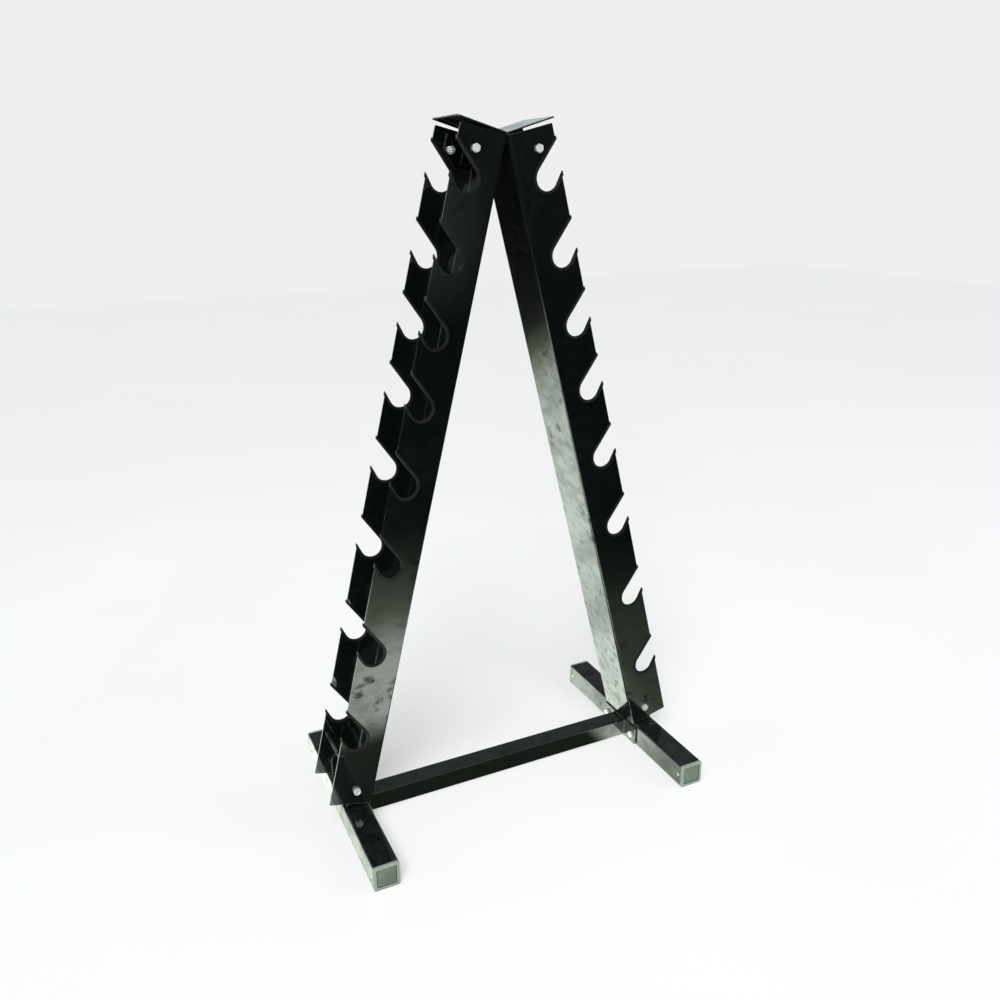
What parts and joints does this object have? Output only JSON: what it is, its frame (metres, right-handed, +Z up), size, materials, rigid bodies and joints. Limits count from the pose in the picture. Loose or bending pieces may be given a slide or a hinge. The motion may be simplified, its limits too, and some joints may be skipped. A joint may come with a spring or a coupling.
{
  "type": "dumbbell rack",
  "caption": "Free-standing A-frame dumbbell rack: two notched folded-steel uprights leaning together on a base of square tube, with rubber-edged notches for the handles.",
  "frame": {"origin": "centre of the rack's outer box, on the floor", "axes": "+X from the left foot to the right foot, +Y from the front ends of the feet to the rear ends, +Z up"},
  "size_m": [0.7776, 0.47, 1.3054],
  "materials": {
    "black_paint": "gloss black paint",
    "zinc": "bright zinc plate",
    "edge_rubber": "satin brown-black rubber",
    "cap_plastic": "satin moulded plastic"
  },
  "bodies": {
    "root": {"left_upright": "black_paint", "left_base_bracket": "black_paint", "left_foot": "black_paint", "left_front_end_cap": "cap_plastic", "left_rear_end_cap": "cap_plastic", "right_upright": "black_paint", "right_base_bracket": "black_paint", "right_foot": "black_paint", "right_front_end_cap": "cap_plastic", "right_rear_end_cap": "cap_plastic", "cross_tube": "black_paint", "left_top_strap": "black_paint", "right_top_strap": "black_paint", "top_tie_plate": "black_paint", "left_front_edge_strip_1": "edge_rubber", "left_front_edge_strip_2": "edge_rubber", "left_front_edge_strip_3": "edge_rubber", "left_front_edge_strip_4": "edge_rubber", "left_front_edge_strip_5": "edge_rubber", "left_front_edge_strip_6": "edge_rubber", "left_front_edge_strip_7": "edge_rubber", "left_front_edge_strip_8": "edge_rubber", "left_front_top_bolt": "zinc", "left_front_top_nut": "zinc", "left_rear_edge_strip_1": "edge_rubber", "left_rear_edge_strip_2": "edge_rubber", "left_rear_edge_strip_3": "edge_rubber", "left_rear_edge_strip_4": "edge_rubber", "left_rear_edge_strip_5": "edge_rubber", "left_rear_edge_strip_6": "edge_rubber", "left_rear_edge_strip_7": "edge_rubber", "left_rear_edge_strip_8": "edge_rubber", "left_rear_top_bolt": "zinc", "left_rear_top_nut": "zinc", "left_base_bolt": "zinc", "left_base_nut": "zinc", "right_front_edge_strip_1": "edge_rubber", "right_front_edge_strip_2": "edge_rubber", "right_front_edge_strip_3": "edge_rubber", "right_front_edge_strip_4": "edge_rubber", "right_front_edge_strip_5": "edge_rubber", "right_front_edge_strip_6": "edge_rubber", "right_front_edge_strip_7": "edge_rubber", "right_front_edge_strip_8": "edge_rubber", "right_front_top_bolt": "zinc", "right_front_top_nut": "zinc", "right_rear_edge_strip_1": "edge_rubber", "right_rear_edge_strip_2": "edge_rubber", "right_rear_edge_strip_3": "edge_rubber", "right_rear_edge_strip_4": "edge_rubber", "right_rear_edge_strip_5": "edge_rubber", "right_rear_edge_strip_6": "edge_rubber", "right_rear_edge_strip_7": "edge_rubber", "right_rear_edge_strip_8": "edge_rubber", "right_rear_top_bolt": "zinc", "right_rear_top_nut": "zinc", "right_base_bolt": "zinc", "right_base_nut": "zinc"}
  },
  "joints": []
}
